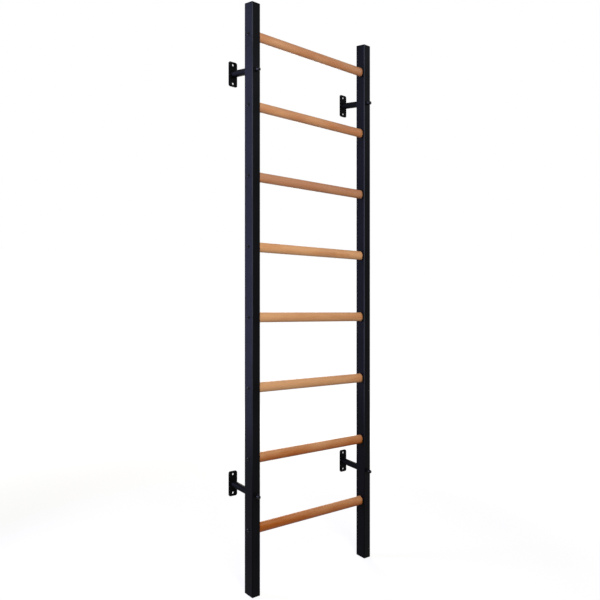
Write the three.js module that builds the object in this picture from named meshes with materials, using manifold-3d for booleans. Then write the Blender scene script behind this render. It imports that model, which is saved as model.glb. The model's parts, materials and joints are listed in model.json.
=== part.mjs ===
// Wall bars: two steel uprights, eight oval wooden rungs and four wall brackets.
// Millimetres. +X runs along the rungs, +Y points into the wall, +Z is up.
// The origin lies on the wall, at floor level, midway between the uprights.

import * as THREE from 'three';
import { mergeVertices } from 'three/addons/utils/BufferGeometryUtils.js';
import Module from 'manifold-3d';

// Overall frame
const overallWidth = 670;      // over the outer faces of the two uprights
const standoffLength = 100;    // clear gap between the wall plates and the uprights
const firstRungHeight = 253;   // floor to the axis of the lowest rung
const rungPitch = 275;
const rungCount = 8;
const topMargin = 122;         // axis of the highest rung to the top of the frame

// Rung: an oval bar, higher than it is deep
const rungHeight = 39;
const rungDepth = 28;
const rungChamfer = 1.5;

// Upright tube, deep enough to take a rung's socket in its side
const tubeWidth = 40;          // along X
const socketMargin = 11;       // from the side of a rung to the tube's front and back faces
const tubeWall = 2;
const tubeCorner = 4;          // outer corner radius

// Button-head bolt that holds each rung end, and the threaded insert that it screws into
const boltDiameter = 8;
const boltLength = 25;         // under the head
const boltHeadLip = 3;         // how far the head stands out round the shank
const boltHeadHeight = 4.4;
const boltHeadRim = 0.8;       // straight edge under the dome
const insertWall = 1.7;
const insertLength = 25;
const insertRecess = 0.5;      // below the rung's end face
const boreEndRoom = 3;         // left beyond the insert and the bolt's tip

// Wall bracket: plate, round standoff and stud
const plateThickness = 5;
const plateCorner = 8;
const screwHoleDiameter = 9;
const screwHoleSpacing = 75;
const screwHoleEdge = 12.5;    // hole centre to the plate's top or bottom edge
const standoffDiameter = 27;
const studDiameter = 10;
const studRootDepth = 12;      // how far the stud reaches back into the standoff

// Washer and domed nut on the front of the upright
const washerLip = 5;           // how far the washer stands out round the stud
const washerThickness = 2.5;
const nutThread = 12;          // length of stud in the nut, where its dome begins
const nutWall = 3;             // round the stud, under the dome
const nutFlatStand = 0.5;      // how far the hexagon's flats stand out past the dome
const nutHexHeight = 8;

// End cap: a flange on the tube's end and a ribbed hollow plug inside the tube
const capFlange = 3;
const capEdge = 0.8;           // softened edge of the flange
const plugDepth = 18;
const plugWall = 2;
const plugRibHeight = 1.5;
const plugRibStand = 1;        // how far a rib stands out from the plug
const plugRibPitch = 6;
const plugRibCount = 2;

// Clearances
const fit = 0.3;               // between parts that slide into each other
const boltRoom = 0.5;          // round a bolt or stud in a drilled wall

// Facets: sides of a round part, and steps in an eighth of a turn on a rounded corner
const rungSides = 32;
const standoffSides = 24;
const holeSides = 16;
const boltSides = 10;
const cornerSteps = 2;
const plugCornerSteps = 1;

// Sizes and places that follow
const tubeDepth = rungDepth + 2 * socketMargin;
const innerCorner = Math.max(tubeCorner - tubeWall, tubeWall / 2);
const insertDiameter = boltDiameter + 2 * (fit + insertWall);
const plateWidth = tubeWidth;
const plateHeight = screwHoleSpacing + 2 * screwHoleEdge;
const rungLength = overallWidth - 2 * tubeWall;
const topRungHeight = heightOfRung(rungCount);
const overallHeight = topRungHeight + topMargin;
const tubeLength = overallHeight - 2 * capFlange;
const backFace = -(plateThickness + standoffLength);
const frontFace = backFace - tubeDepth;
const midDepth = (backFace + frontFace) / 2;
const uprightX = (overallWidth - tubeWidth) / 2;
const bracketHeights = { upper: topRungHeight - rungPitch / 2, lower: firstRungHeight + rungPitch / 2 };
const sides = { left: -1, right: 1 };

const blackPaint = new THREE.MeshStandardMaterial({ color: 0x23232c, roughness: 0.42, metalness: 0.3 });
const bracketPaint = new THREE.MeshStandardMaterial({ color: 0x1c1c21, roughness: 0.45, metalness: 0.3 });
const beech = new THREE.MeshStandardMaterial({ color: 0xc79468, roughness: 0.5, metalness: 0 });
const blackPlastic = new THREE.MeshStandardMaterial({ color: 0x17171a, roughness: 0.55, metalness: 0 });
const blackSteel = new THREE.MeshStandardMaterial({ color: 0x24242a, roughness: 0.35, metalness: 0.7 });
const zincSteel = new THREE.MeshStandardMaterial({ color: 0xb9b6a8, roughness: 0.4, metalness: 0.9 });

const wasm = await Module();
wasm.setup();

function heightOfRung(number) {
  return firstRungHeight + (number - 1) * rungPitch;
}

// A closed geometry as a solid for joining and cutting. Triangles of no area at a lathe's poles are dropped.
function solid(geometry) {
  const bare = geometry.clone();
  bare.deleteAttribute('normal');
  bare.deleteAttribute('uv');
  const merged = mergeVertices(bare);
  const corners = merged.index.array;
  const kept = [];
  for (let i = 0; i < corners.length; i += 3) {
    const [a, b, c] = corners.slice(i, i + 3);
    if (a !== b && b !== c && c !== a) kept.push(a, b, c);
  }
  return new wasm.Manifold(new wasm.Mesh({
    numProp: 3,
    vertProperties: new Float32Array(merged.attributes.position.array),
    triVerts: new Uint32Array(kept),
  }));
}

function geometryOf(body) {
  const { vertProperties, triVerts } = body.getMesh();
  const geometry = new THREE.BufferGeometry();
  geometry.setAttribute('position', new THREE.BufferAttribute(vertProperties, 3));
  geometry.setIndex(new THREE.BufferAttribute(triVerts, 1));
  geometry.computeVertexNormals();
  return geometry;
}

// The corner radius of a polygon whose flats lie that diameter apart, so that a round bar passes through it.
function holeRadius(diameter, count) {
  return diameter / 2 / Math.cos(Math.PI / count);
}

function rodAlongX(radius, length, count, x, y, z) {
  const rod = new THREE.CylinderGeometry(radius, radius, length, count).rotateZ(Math.PI / 2);
  return solid(rod.translate(x, y, z));
}

function ovalAlongX(height, depth, length, x, y, z) {
  const bar = new THREE.CylinderGeometry(height / 2, height / 2, length, rungSides).rotateZ(Math.PI / 2);
  return solid(bar.scale(1, depth / height, 1).translate(x, y, z));
}

function rodAlongY(radius, length, count, x, y, z) {
  return solid(new THREE.CylinderGeometry(radius, radius, length, count).translate(x, y, z));
}

function roundedRectangle(width, depth, radius) {
  const outline = new THREE.Shape();
  const x = width / 2 - radius;
  const y = depth / 2 - radius;
  outline.absarc(x, y, radius, 0, Math.PI / 2);
  outline.absarc(-x, y, radius, Math.PI / 2, Math.PI);
  outline.absarc(-x, -y, radius, Math.PI, 1.5 * Math.PI);
  outline.absarc(x, -y, radius, 1.5 * Math.PI, 2 * Math.PI);
  return outline;
}

function prism(outline, height, curveSegments = cornerSteps) {
  return new THREE.ExtrudeGeometry(outline, { depth: height, bevelEnabled: false, curveSegments });
}

// A profile of [radius, height] points turned about Y into a closed body.
function turned(profile, count) {
  const points = profile.map(([radius, height]) => new THREE.Vector2(radius, height));
  return solid(new THREE.LatheGeometry(points, count));
}

function turnedRing(inner, outer, low, high, count) {
  return turned([[inner, low], [outer, low], [outer, high], [inner, high], [inner, low]], count);
}

// Upright: a hollow tube with an oval socket for each rung in its inner wall, a bolt hole opposite in its
// outer wall, and a hole through front and back for each bracket's stud. Its own X and Y start on its axis.
function uprightGeometry(side) {
  const outline = roundedRectangle(tubeWidth, tubeDepth, tubeCorner);
  outline.holes.push(roundedRectangle(tubeWidth - 2 * tubeWall, tubeDepth - 2 * tubeWall, innerCorner));
  let tube = solid(prism(outline, tubeLength).translate(0, 0, capFlange));
  const wallMiddle = (tubeWidth - tubeWall) / 2;
  const drillLength = 2 * tubeWall;
  const socketHeight = rungHeight + 2 * fit;
  const socketDepth = rungDepth + 2 * fit;
  const boltHole = holeRadius(boltDiameter + 2 * boltRoom, boltSides);
  for (let number = 1; number <= rungCount; number += 1) {
    const z = heightOfRung(number);
    tube = tube.subtract(ovalAlongX(socketHeight, socketDepth, drillLength, -side * wallMiddle, 0, z));
    tube = tube.subtract(rodAlongX(boltHole, drillLength, boltSides, side * wallMiddle, 0, z));
  }
  const studHole = holeRadius(studDiameter + 2 * boltRoom, boltSides);
  for (const z of Object.values(bracketHeights)) {
    tube = tube.subtract(rodAlongY(studHole, 2 * tubeDepth, boltSides, 0, 0, z));
  }
  return geometryOf(tube);
}

// Rung: an oval bar with chamfered ends and a round bore in each end, lying along X about its middle. It
// passes through the sockets in the inner walls and butts against the outer walls.
function rungGeometry() {
  const trim = 2 * rungChamfer;
  const barrel = ovalAlongX(rungHeight, rungDepth, rungLength - trim, 0, 0, 0);
  const core = ovalAlongX(rungHeight - trim, rungDepth - trim, rungLength, 0, 0, 0);
  let rung = wasm.Manifold.hull([barrel, core]);
  const bore = holeRadius(insertDiameter + 2 * fit, holeSides);
  const boreDepth = Math.max(insertRecess + insertLength, boltLength - tubeWall) + boreEndRoom;
  for (const end of [-rungLength / 2, rungLength / 2]) {
    rung = rung.subtract(rodAlongX(bore, 2 * boreDepth, holeSides, end, 0, 0));
  }
  return geometryOf(rung);
}

// Threaded insert: a sleeve along X with its outer face at x = 0, reaching inwards to -X.
function insertGeometry() {
  const bore = holeRadius(boltDiameter + 2 * fit, boltSides);
  return geometryOf(turnedRing(bore, insertDiameter / 2, -insertLength, 0, boltSides)).rotateZ(-Math.PI / 2);
}

// Button-head bolt along X: the head's seat at x = 0, the dome towards +X and the shank towards -X.
function rungBoltGeometry() {
  const shank = boltDiameter / 2;
  const head = shank + boltHeadLip;
  const crown = shank / 2;
  const domeHeight = boltHeadHeight - boltHeadRim;
  const shoulder = [crown + (head - crown) * Math.SQRT1_2, boltHeadRim + domeHeight * Math.SQRT1_2];
  const profile = [
    [0, -boltLength], [shank, -boltLength], [shank, 0], [head, 0],
    [head, boltHeadRim], shoulder, [crown, boltHeadHeight], [0, boltHeadHeight],
  ];
  return geometryOf(turned(profile, boltSides)).rotateZ(-Math.PI / 2);
}

// Wall bracket about its stud's axis: the plate's back lies on the wall at y = 0. The plate, the standoff and
// the stud are welded into one body, and the stud runs on through the upright into the domed nut.
function bracketGeometry() {
  const outline = roundedRectangle(plateWidth, plateHeight, plateCorner);
  let plate = solid(prism(outline, plateThickness).rotateX(Math.PI / 2));
  for (const z of [-screwHoleSpacing / 2, screwHoleSpacing / 2]) {
    plate = plate.subtract(rodAlongY(screwHoleDiameter / 2, 4 * plateThickness, holeSides, 0, 0, z));
  }
  const barEnd = -plateThickness / 2;
  const barMiddle = (barEnd + backFace) / 2;
  const bar = rodAlongY(standoffDiameter / 2, barEnd - backFace, standoffSides, 0, barMiddle, 0);
  const studTip = frontFace - washerThickness - nutThread;
  const studRoot = backFace + studRootDepth;
  const studMiddle = (studRoot + studTip) / 2;
  const stud = rodAlongY(studDiameter / 2, studRoot - studTip, boltSides, 0, studMiddle, 0);
  return geometryOf(plate.add(bar).add(stud));
}

// Washer about Y: its seat at y = 0, reaching forward to -Y.
function washerGeometry() {
  const bore = holeRadius(studDiameter + 2 * fit, holeSides);
  return geometryOf(turnedRing(bore, studDiameter / 2 + washerLip, -washerThickness, 0, holeSides));
}

// Domed nut about Y: its seat at y = 0 and its dome towards -Y, with a blind bore for the stud.
function domeNutGeometry() {
  const domeRadius = studDiameter / 2 + nutWall;
  const domeSteps = 3;
  const profile = [[0, 0], [domeRadius, 0]];
  for (let step = 0; step < domeSteps; step += 1) {
    const angle = (step / domeSteps) * Math.PI / 2;
    profile.push([domeRadius * Math.cos(angle), nutThread + domeRadius * Math.sin(angle)]);
  }
  profile.push([0, nutThread + domeRadius]);
  const hexRadius = holeRadius(2 * (domeRadius + nutFlatStand), 6);
  const hexagon = rodAlongY(hexRadius, nutHexHeight, 6, 0, nutHexHeight / 2, 0);
  const boreRadius = holeRadius(studDiameter + 2 * fit, boltSides);
  const boreDepth = nutThread + fit;
  const bore = rodAlongY(boreRadius, 2 * boreDepth, boltSides, 0, 0, 0);
  return geometryOf(hexagon.add(turned(profile, holeSides)).subtract(bore)).rotateX(Math.PI);
}

// End cap about Z: the flange's seat at z = 0 with the flange above it and the plug below.
function capGeometry() {
  const edge = Math.min(capEdge, capFlange / 3);
  const flangeCorner = Math.max(tubeCorner - edge, edge);
  const flangeShape = roundedRectangle(tubeWidth - 2 * edge, tubeDepth - 2 * edge, flangeCorner);
  const flange = new THREE.ExtrudeGeometry(flangeShape, {
    depth: capFlange - 2 * edge,
    bevelSize: edge,
    bevelThickness: edge,
    bevelSegments: 1,
    curveSegments: cornerSteps,
  });
  const ribWidth = tubeWidth - 2 * (tubeWall + fit);
  const ribDepth = tubeDepth - 2 * (tubeWall + fit);
  const plugSection = (inset, low, high) => {
    const outline = roundedRectangle(ribWidth - 2 * inset, ribDepth - 2 * inset, innerCorner);
    return solid(prism(outline, high - low, plugCornerSteps).translate(0, 0, low));
  };
  let cap = solid(flange.translate(0, 0, edge)).add(plugSection(plugRibStand, -plugDepth, capFlange / 2));
  for (let rib = 1; rib <= plugRibCount; rib += 1) {
    const top = -rib * plugRibPitch;
    cap = cap.add(plugSection(0, top - plugRibHeight, top));
  }
  return geometryOf(cap.subtract(plugSection(plugRibStand + plugWall, -2 * plugDepth, 0)));
}

const wallBars = new THREE.Group();

function place(name, geometry, material, parent, x, y, z) {
  const mesh = new THREE.Mesh(geometry, material);
  mesh.name = name;
  mesh.position.set(x, y, z);
  parent.add(mesh);
  return mesh;
}

const rungShape = rungGeometry();
const insertShape = insertGeometry();
const boltShape = rungBoltGeometry();
const bracketShape = bracketGeometry();
const washerShape = washerGeometry();
const nutShape = domeNutGeometry();
const capShape = capGeometry();

for (let number = 1; number <= rungCount; number += 1) {
  place(`rung_${number}`, rungShape, beech, wallBars, 0, midDepth, heightOfRung(number));
}

for (const [sideName, side] of Object.entries(sides)) {
  const upright = new THREE.Group();
  upright.position.set(side * uprightX, 0, 0);
  wallBars.add(upright);
  place(`${sideName}_upright`, uprightGeometry(side), blackPaint, upright, 0, midDepth, 0);
  place(`top_cap_${sideName}`, capShape, blackPlastic, upright, 0, midDepth, overallHeight - capFlange);
  const bottomCap = place(`bottom_cap_${sideName}`, capShape, blackPlastic, upright, 0, midDepth, capFlange);
  bottomCap.rotation.x = Math.PI;

  for (const [level, z] of Object.entries(bracketHeights)) {
    const corner = `${level}_${sideName}`;
    place(`wall_bracket_${corner}`, bracketShape, bracketPaint, upright, 0, 0, z);
    place(`bracket_washer_${corner}`, washerShape, blackSteel, upright, 0, frontFace, z);
    place(`dome_nut_${corner}`, nutShape, blackSteel, upright, 0, frontFace - washerThickness, z);
  }

  // Bolts and inserts point outwards, so those of the left upright are turned half round.
  const turn = side > 0 ? 0 : Math.PI;
  const boltSeat = side * tubeWidth / 2;
  const insertFace = side * (tubeWidth / 2 - tubeWall - insertRecess);
  for (let number = 1; number <= rungCount; number += 1) {
    const end = `${sideName}_${number}`;
    const z = heightOfRung(number);
    const bolt = place(`rung_bolt_${end}`, boltShape, blackSteel, upright, boltSeat, midDepth, z);
    const insert = place(`threaded_insert_${end}`, insertShape, zincSteel, upright, insertFace, midDepth, z);
    bolt.rotation.z = turn;
    insert.rotation.z = turn;
  }
}

export default wallBars;
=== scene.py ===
"""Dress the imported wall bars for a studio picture.

Every solid of the frame is replaced by a finely modelled piece in the same place: tubes with rounded
corners, oval beech rungs, welded wall brackets and their fasteners. Lengths are in metres, +X runs along
the rungs, +Y points into the wall and +Z is up.
"""

from __future__ import annotations

import json
import logging
import math
from abc import ABC, abstractmethod
from collections.abc import Callable, Iterator, Mapping
from contextlib import contextmanager
from dataclasses import dataclass
from enum import Enum
from typing import Any

import bmesh
import bpy
from mathutils import Matrix, Vector
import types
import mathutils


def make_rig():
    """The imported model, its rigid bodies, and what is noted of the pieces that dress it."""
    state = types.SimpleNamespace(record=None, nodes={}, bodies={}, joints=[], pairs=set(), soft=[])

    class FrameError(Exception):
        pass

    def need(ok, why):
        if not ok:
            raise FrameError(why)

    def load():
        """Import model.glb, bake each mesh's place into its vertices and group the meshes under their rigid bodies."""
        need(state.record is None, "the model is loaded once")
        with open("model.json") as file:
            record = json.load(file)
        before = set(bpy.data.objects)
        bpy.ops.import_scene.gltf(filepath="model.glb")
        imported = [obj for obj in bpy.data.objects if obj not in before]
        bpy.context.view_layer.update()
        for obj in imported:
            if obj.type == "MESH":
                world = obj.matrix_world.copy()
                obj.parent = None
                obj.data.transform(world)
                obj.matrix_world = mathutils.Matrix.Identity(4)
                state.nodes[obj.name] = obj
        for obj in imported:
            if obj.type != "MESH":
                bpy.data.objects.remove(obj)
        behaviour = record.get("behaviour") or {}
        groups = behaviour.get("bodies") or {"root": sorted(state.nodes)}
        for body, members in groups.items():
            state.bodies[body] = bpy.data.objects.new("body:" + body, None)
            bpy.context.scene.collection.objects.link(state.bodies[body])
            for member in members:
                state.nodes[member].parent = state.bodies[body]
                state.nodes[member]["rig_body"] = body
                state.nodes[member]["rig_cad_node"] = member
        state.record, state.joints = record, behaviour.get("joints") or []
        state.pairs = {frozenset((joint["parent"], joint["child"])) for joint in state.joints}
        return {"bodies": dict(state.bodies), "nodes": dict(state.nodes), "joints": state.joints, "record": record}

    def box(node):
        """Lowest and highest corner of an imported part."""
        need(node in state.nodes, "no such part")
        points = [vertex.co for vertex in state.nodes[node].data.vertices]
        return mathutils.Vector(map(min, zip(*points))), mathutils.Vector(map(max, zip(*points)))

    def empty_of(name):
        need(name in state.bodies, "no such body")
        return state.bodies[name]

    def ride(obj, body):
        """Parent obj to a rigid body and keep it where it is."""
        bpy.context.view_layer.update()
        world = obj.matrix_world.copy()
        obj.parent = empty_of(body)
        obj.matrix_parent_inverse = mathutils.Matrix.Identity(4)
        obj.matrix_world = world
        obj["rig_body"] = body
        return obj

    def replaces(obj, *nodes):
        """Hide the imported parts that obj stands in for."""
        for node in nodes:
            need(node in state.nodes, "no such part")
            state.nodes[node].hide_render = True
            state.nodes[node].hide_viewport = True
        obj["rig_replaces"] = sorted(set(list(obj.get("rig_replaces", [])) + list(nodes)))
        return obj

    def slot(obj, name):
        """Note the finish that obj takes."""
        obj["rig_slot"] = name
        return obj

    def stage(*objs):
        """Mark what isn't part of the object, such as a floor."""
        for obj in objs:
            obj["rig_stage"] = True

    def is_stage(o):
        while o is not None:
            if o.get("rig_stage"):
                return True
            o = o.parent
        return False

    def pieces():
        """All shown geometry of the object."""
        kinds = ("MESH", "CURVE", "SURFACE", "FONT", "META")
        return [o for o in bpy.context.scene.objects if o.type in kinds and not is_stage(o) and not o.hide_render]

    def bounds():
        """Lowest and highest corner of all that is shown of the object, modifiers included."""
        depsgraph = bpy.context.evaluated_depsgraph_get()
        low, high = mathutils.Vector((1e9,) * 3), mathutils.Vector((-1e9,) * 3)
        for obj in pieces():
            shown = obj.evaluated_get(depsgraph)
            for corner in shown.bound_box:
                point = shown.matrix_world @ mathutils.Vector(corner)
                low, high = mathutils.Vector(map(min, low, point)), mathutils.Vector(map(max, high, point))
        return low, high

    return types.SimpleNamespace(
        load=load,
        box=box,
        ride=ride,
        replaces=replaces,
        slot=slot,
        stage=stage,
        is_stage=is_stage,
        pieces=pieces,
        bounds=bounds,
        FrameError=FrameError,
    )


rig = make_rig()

LOG = logging.getLogger("wall_bars")
SIZE_FILE = "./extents.json"
BODY = "root"
MM = 0.001

RUNG_COUNT = 8
TUBE_WALL = 2 * MM
TUBE_CORNER = 4 * MM
ROOM = 0.3 * MM
HEXAGON = 6

# Points closer together than GRIT count as one, and a direction whose part along an axis is larger than
# SQUARE counts as lying along it.
GRIT = 0.01 * MM
SQUARE = 0.99

Piece = bpy.types.Object
Box = tuple[Vector, Vector]
Pair = tuple[float, float]
Triple = tuple[float, float, float]
Colour = Triple
EdgeTest = Callable[[bmesh.types.BMEdge], bool]
FaceTest = Callable[[bmesh.types.BMFace], bool]


class Side(Enum):
    """The two uprights."""

    LEFT = "left"
    RIGHT = "right"


class Level(Enum):
    """The two heights at which brackets hold an upright."""

    UPPER = "upper"
    LOWER = "lower"


class TubeEnd(Enum):
    """The two ends of an upright that a cap closes."""

    TOP = "top"
    BOTTOM = "bottom"


class Axis(Enum):
    """An axis of the frame, with the turn that lays a primitive's own Z along it."""

    X = (0.0, math.pi / 2, 0.0)
    Y = (-math.pi / 2, 0.0, 0.0)
    Z = (0.0, 0.0, 0.0)

    @property
    def number(self) -> int:
        """The axis's place in a vector."""
        return "XYZ".index(self.name)

    @property
    def along(self) -> Vector:
        """A vector of length one up the axis."""
        return Vector([float(name == self.name) for name in "XYZ"])


class Work(Enum):
    """What a tool does to the piece that it meets."""

    CUT = "DIFFERENCE"
    JOIN = "UNION"
    TRIM = "INTERSECT"


class Select(Enum):
    """What is selected in edit mode."""

    POINTS = "VERT"
    EDGES = "EDGE"
    FACES = "FACE"


class Slot(Enum):
    """The record's material slots."""

    UPRIGHT_PAINT = "upright_paint"
    BRACKET_PAINT = "bracket_paint"
    RUNG_BEECH = "rung_beech"
    CAP_PLASTIC = "cap_plastic"
    FASTENER_BLACK = "fastener_black"
    INSERT_ZINC = "insert_zinc"


def linear(red: int, green: int, blue: int) -> Colour:
    """Turn a screen colour into the linear values that shaders take.

    Args:
        red: Red from 0 to 255.
        green: Green from 0 to 255.
        blue: Blue from 0 to 255.

    Returns:
        The three linear values from 0 to 1.
    """
    shares = (red / 255, green / 255, blue / 255)
    return tuple(s / 12.92 if s <= 0.04045 else ((s + 0.055) / 1.055) ** 2.4 for s in shares)


def middle(node: str) -> Vector:
    """The centre of a node's box."""
    low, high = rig.box(node)
    return (low + high) / 2


def runs_along(axis: Axis) -> EdgeTest:
    """A test for edges that run along an axis."""
    return lambda edge: abs((edge.verts[1].co - edge.verts[0].co).normalized()[axis.number]) > SQUARE


def lies_at(axis: Axis, place: float) -> EdgeTest:
    """A test for edges that have both ends at one place on an axis."""
    return lambda edge: all(abs(vert.co[axis.number] - place) < GRIT for vert in edge.verts)


def looks_along(axis: Axis, *ways: int) -> FaceTest:
    """A test for faces that look up an axis, for the way 1, or down it, for the way -1."""
    return lambda face: any(way * face.normal[axis.number] > SQUARE for way in ways)


class Bench:
    """Hand modelling with Blender's operators, on one piece at a time."""

    @staticmethod
    def take(piece: Piece) -> None:
        """Make a piece the only one selected, and the active one.

        Args:
            piece: The piece to take.
        """
        bpy.ops.object.select_all(action="DESELECT")
        piece.select_set(True)
        bpy.context.view_layer.objects.active = piece

    @staticmethod
    def settle(piece: Piece) -> None:
        """Move a piece's place, turn and scale into its mesh."""
        Bench.take(piece)
        bpy.ops.object.transform_apply(location=True, rotation=True, scale=True)

    @staticmethod
    def claim(name: str) -> Piece:
        """Name the piece that was just added or copied, and settle it.

        Args:
            name: The piece's name.

        Returns:
            The piece.
        """
        piece = bpy.context.active_object
        piece.name = name
        piece.data.name = name
        Bench.settle(piece)
        return piece

    @staticmethod
    def block(name: str, low: Vector, high: Vector) -> Piece:
        """Add a block between two corners.

        Args:
            name: The piece's name.
            low: The lowest corner.
            high: The highest corner.

        Returns:
            The new piece.
        """
        bpy.ops.object.select_all(action="DESELECT")
        bpy.ops.mesh.primitive_cube_add(size=1, location=(low + high) / 2)
        bpy.context.active_object.scale = high - low
        return Bench.claim(name)

    @staticmethod
    def rod(name: str, axis: Axis, radius: float, length: float, centre: Vector, sides: int) -> Piece:
        """Add a round bar, or a prism where it has few sides.

        Args:
            name: The piece's name.
            axis: The axis that it lies along.
            radius: From the axis to a corner.
            length: From end to end.
            centre: The middle of the bar.
            sides: How many faces go round it.

        Returns:
            The new piece.
        """
        bpy.ops.object.select_all(action="DESELECT")
        bpy.ops.mesh.primitive_cylinder_add(
            vertices=sides, radius=radius, depth=length, location=centre, rotation=axis.value)
        return Bench.claim(name)

    @staticmethod
    def ball(name: str, axis: Axis, radius: float, centre: Vector, sides: int) -> Piece:
        """Add a sphere whose poles lie on an axis.

        Args:
            name: The piece's name.
            axis: The axis through its poles.
            radius: The sphere's radius.
            centre: The sphere's centre.
            sides: How many faces go round it.

        Returns:
            The new piece.
        """
        bpy.ops.object.select_all(action="DESELECT")
        bpy.ops.mesh.primitive_uv_sphere_add(
            segments=sides, ring_count=sides // 2, radius=radius, location=centre, rotation=axis.value)
        return Bench.claim(name)

    @staticmethod
    @contextmanager
    def editing(piece: Piece, kind: Select) -> Iterator[None]:
        """Hold a piece in edit mode with nothing selected.

        Args:
            piece: The piece to edit.
            kind: What the block selects.

        Yields:
            Nothing: the block runs in edit mode.
        """
        Bench.take(piece)
        bpy.ops.object.mode_set(mode="EDIT")
        bpy.ops.mesh.select_mode(type=kind.value)
        bpy.ops.mesh.select_all(action="DESELECT")
        yield
        bpy.ops.object.mode_set(mode="OBJECT")

    @staticmethod
    def pick(piece: Piece, kind: Select, wanted: EdgeTest | FaceTest) -> None:
        """Select the edges or faces that pass a test, in edit mode.

        Args:
            piece: The piece that is being edited.
            kind: Whether its edges or its faces are tested.
            wanted: The test.
        """
        bpy.ops.mesh.select_all(action="DESELECT")
        mesh = bmesh.from_edit_mesh(piece.data)
        for part in mesh.edges if kind is Select.EDGES else mesh.faces:
            if wanted(part):
                part.select_set(True)
        bmesh.update_edit_mesh(piece.data)

    @staticmethod
    def pull(axis: Axis, distance: float) -> None:
        """Extrude the selected faces along an axis, in edit mode."""
        bpy.ops.mesh.extrude_region_move(TRANSFORM_OT_translate={"value": tuple(distance * axis.along)})

    @staticmethod
    def swell(axis: Axis, growth: float) -> None:
        """Scale the selected faces across an axis, in edit mode."""
        bpy.ops.transform.resize(value=[1.0 if name == axis.name else growth for name in "XYZ"])

    @staticmethod
    def soften(piece: Piece, wanted: EdgeTest, radius: float, steps: int) -> None:
        """Round the edges that pass a test.

        Args:
            piece: The piece to work on.
            wanted: The test that an edge has to pass.
            radius: The radius of the rounding.
            steps: How many faces make it.
        """
        with Bench.editing(piece, Select.EDGES):
            Bench.pick(piece, Select.EDGES, wanted)
            bpy.ops.mesh.bevel(offset=radius, segments=steps, affect="EDGES")

    @staticmethod
    def slice_off(piece: Piece, point: Vector, axis: Axis) -> None:
        """Cut off what lies up an axis from a point, and close the cut.

        Args:
            piece: The piece to cut.
            point: A point on the cut.
            axis: The axis that the cut is square to.
        """
        with Bench.editing(piece, Select.FACES):
            bpy.ops.mesh.select_all(action="SELECT")
            bpy.ops.mesh.bisect(plane_co=point, plane_no=axis.along, use_fill=True, clear_outer=True)

    @staticmethod
    def apply(piece: Piece, kind: str, settings: Mapping[str, Any]) -> None:
        """Give a piece a modifier, and apply it.

        Args:
            piece: The piece to work on.
            kind: The modifier's type.
            settings: The modifier's properties.
        """
        Bench.take(piece)
        step = piece.modifiers.new(kind.lower(), kind)
        for name, value in settings.items():
            setattr(step, name, value)
        bpy.ops.object.modifier_apply(modifier=step.name)

    @staticmethod
    def combine(piece: Piece, tools: list[Piece], work: Work) -> None:
        """Cut, join or trim a piece with others, which are used up.

        Args:
            piece: The piece that stays.
            tools: The pieces to combine with it.
            work: What they do to it.
        """
        for tool in tools:
            Bench.apply(piece, "BOOLEAN", {"operation": work.value, "solver": "EXACT", "object": tool})
            bpy.data.meshes.remove(tool.data)

    @staticmethod
    def merge(pieces: list[Piece]) -> Piece:
        """Join pieces into one object, so that one cut can use them all.

        Args:
            pieces: The pieces to join.

        Returns:
            The first piece, which now holds them all.
        """
        Bench.take(pieces[0])
        for piece in pieces:
            piece.select_set(True)
        bpy.ops.object.join()
        return bpy.context.active_object

    @staticmethod
    def polish(piece: Piece, sharp: float = 35.0) -> None:
        """Clear the grit that cuts leave, and shade a piece smooth with its flat faces kept flat.

        Args:
            piece: The piece to shade.
            sharp: The angle in degrees at which an edge stays sharp.
        """
        with Bench.editing(piece, Select.POINTS):
            bpy.ops.mesh.select_all(action="SELECT")
            bpy.ops.mesh.remove_doubles(threshold=GRIT)
            bpy.ops.mesh.dissolve_degenerate(threshold=GRIT)
        bpy.ops.object.shade_smooth_by_angle(angle=math.radians(sharp))
        Bench.apply(piece, "WEIGHTED_NORMAL", {"keep_sharp": True})

    @staticmethod
    def twin(piece: Piece, name: str, shift: Vector) -> Piece:
        """Copy a piece, with a mesh of its own, to another place.

        Args:
            piece: The piece to copy.
            name: The copy's name.
            shift: How far the copy is moved.

        Returns:
            The copy.
        """
        Bench.take(piece)
        bpy.ops.object.duplicate(linked=False)
        bpy.ops.transform.translate(value=shift)
        return Bench.claim(name)

    @staticmethod
    def half_turn(piece: Piece, axis: Axis, centre: Vector) -> None:
        """Turn a piece half round.

        Args:
            piece: The piece to turn.
            axis: The axis that it turns about.
            centre: A point on that axis.
        """
        Bench.take(piece)
        bpy.ops.transform.rotate(value=math.pi, orient_axis=axis.name, center_override=centre)
        Bench.settle(piece)

    @staticmethod
    def squeeze(piece: Piece, share: float, centre: Vector) -> None:
        """Change a piece's depth, which is its size along Y.

        Args:
            piece: The piece to squeeze.
            share: Its new depth as a share of the old.
            centre: The point that stays in place.
        """
        Bench.take(piece)
        bpy.ops.transform.resize(value=(1, share, 1), center_override=centre)
        Bench.settle(piece)


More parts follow.
